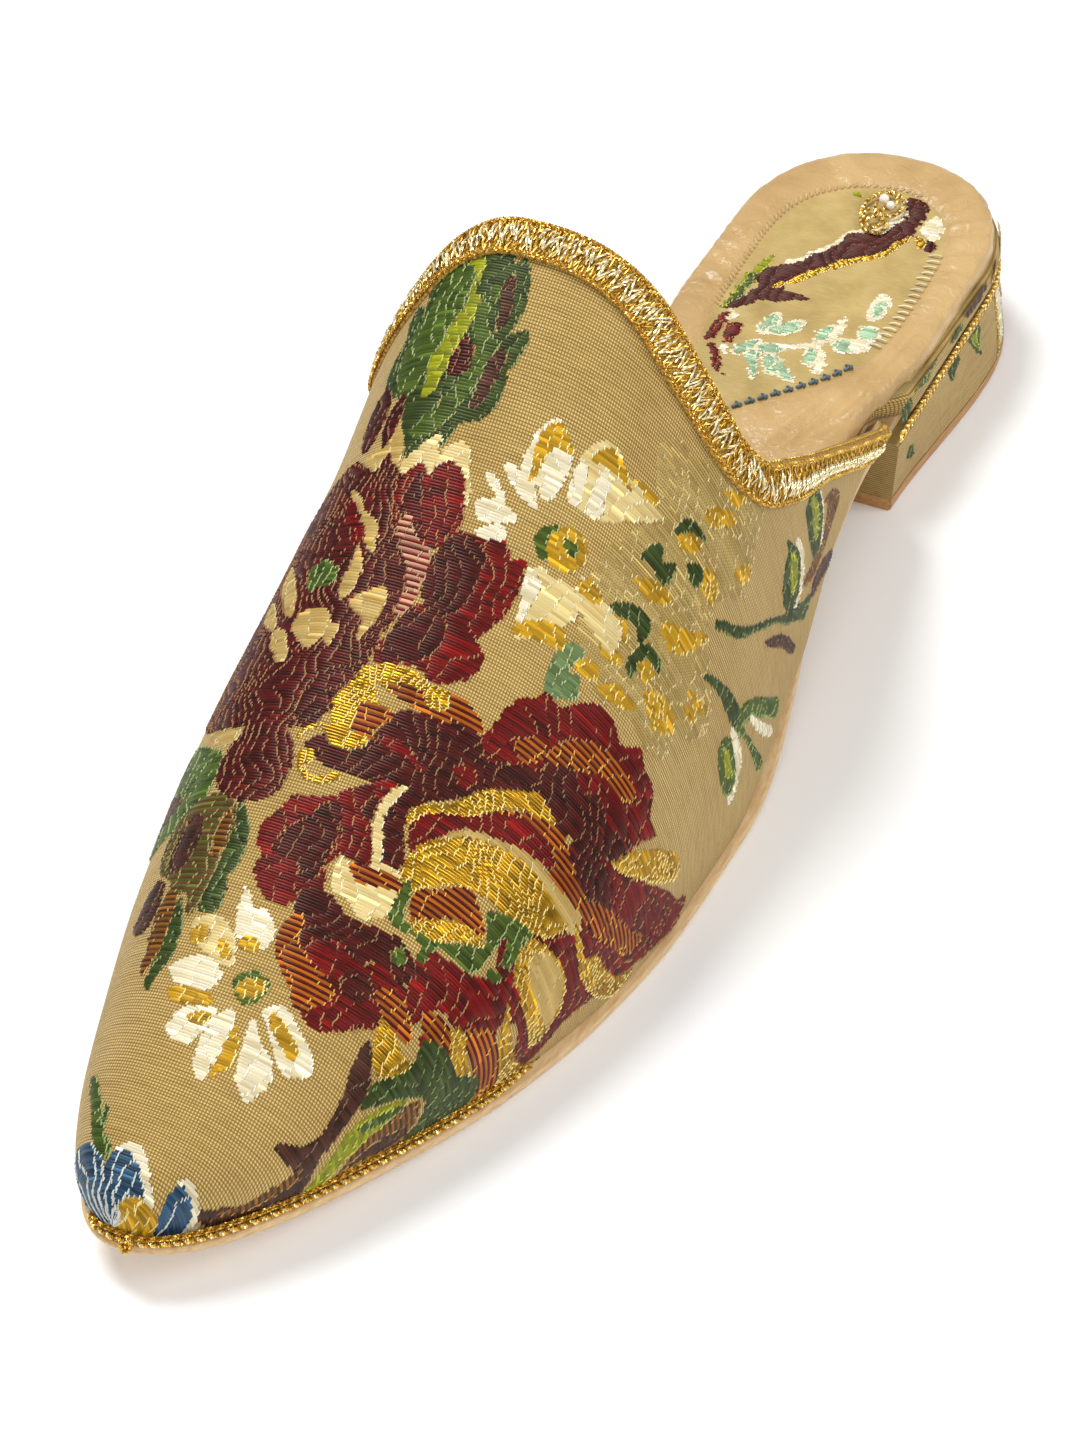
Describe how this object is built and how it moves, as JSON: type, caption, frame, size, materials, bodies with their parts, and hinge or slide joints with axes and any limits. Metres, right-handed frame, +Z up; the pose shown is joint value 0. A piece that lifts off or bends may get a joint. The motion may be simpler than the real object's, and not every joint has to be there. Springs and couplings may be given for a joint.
{
  "type": "babouche slipper",
  "caption": "Backless pointed-toe brocade slipper for the left foot, with a braided topline, padded insole, thin leather sole and low covered heel.",
  "frame": {"origin": "centre of the bounding box in plan, on the plane the slipper stands on", "axes": "+Y from toe to heel, so the toe points to -Y; +Z up; +X to the outer side of a left foot"},
  "size_m": [0.077, 0.271, 0.0872],
  "materials": {
    "brocade": "woven brocade, gold-tan ground with satin-weave flowers in coloured silk",
    "gold_braid": "twisted metallic gold thread",
    "insole_leather": "soft tan sheepskin with a low sheen",
    "sole_leather": "smooth vegetable-tanned leather",
    "heel_leather": "edge-dyed leather lift, lightly scuffed"
  },
  "bodies": {
    "root": {"upper": "brocade", "topline_braid": "gold_braid", "insole_pad": "insole_leather", "insole_board": "brocade", "outsole": "sole_leather", "heel_block": "brocade", "heel_top_piece": "heel_leather", "heel_cord": "gold_braid", "toe_cord": "gold_braid"}
  },
  "joints": []
}
